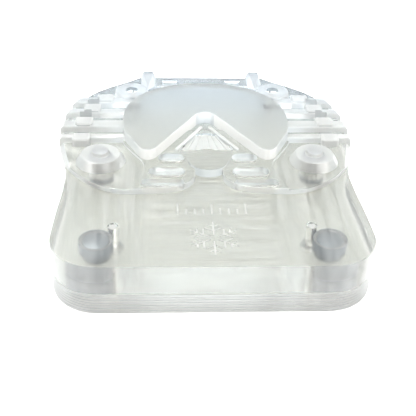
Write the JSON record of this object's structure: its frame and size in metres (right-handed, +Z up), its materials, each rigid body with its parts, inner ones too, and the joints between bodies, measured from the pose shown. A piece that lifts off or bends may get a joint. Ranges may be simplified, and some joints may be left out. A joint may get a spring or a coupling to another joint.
{
  "type": "snowboard stomp pad",
  "caption": "Thick clear two-plate stomp pad: a carved tread plate held by magnets and pegs on a flat base plate with an adhesive underside.",
  "frame": {"origin": "centre of the underside of the adhesive sheet, where the pad meets the board", "axes": "+Z up through the plates, +Y from the square front edge to the round back, +X to the right"},
  "size_m": [0.1148, 0.133, 0.027],
  "materials": {
    "clear_tread": "clear cast acrylic, milled and lightly hazed",
    "clear_base": "clear cast acrylic with fine edge lines",
    "adhesive": "clear soft acrylic foam adhesive",
    "sleeve": "clear plastic",
    "nylon": "natural white nylon",
    "magnet": "nickel plated, dark"
  },
  "bodies": {
    "base": {"adhesive_sheet": "adhesive", "base_plate": "clear_base", "locating_peg_left": "nylon", "locating_peg_right": "nylon", "base_front_magnet_left": "magnet", "base_front_magnet_right": "magnet", "base_stud_magnet_left": "magnet", "base_stud_magnet_right": "magnet", "base_boss_magnet_left": "magnet", "base_boss_magnet_right": "magnet"},
    "tread": {"tread_plate": "clear_tread", "magnet_sleeve_left": "sleeve", "magnet_sleeve_right": "sleeve", "tread_front_magnet_left": "magnet", "tread_front_magnet_right": "magnet", "tread_stud_magnet_left": "magnet", "tread_stud_magnet_right": "magnet", "tread_boss_magnet_left": "magnet", "tread_boss_magnet_right": "magnet"}
  },
  "joints": [
    {"name": "tread_lift", "type": "slide", "parent": "base", "child": "tread", "axis": [0, 0, 1], "range_m": [0, 0.025]}
  ]
}
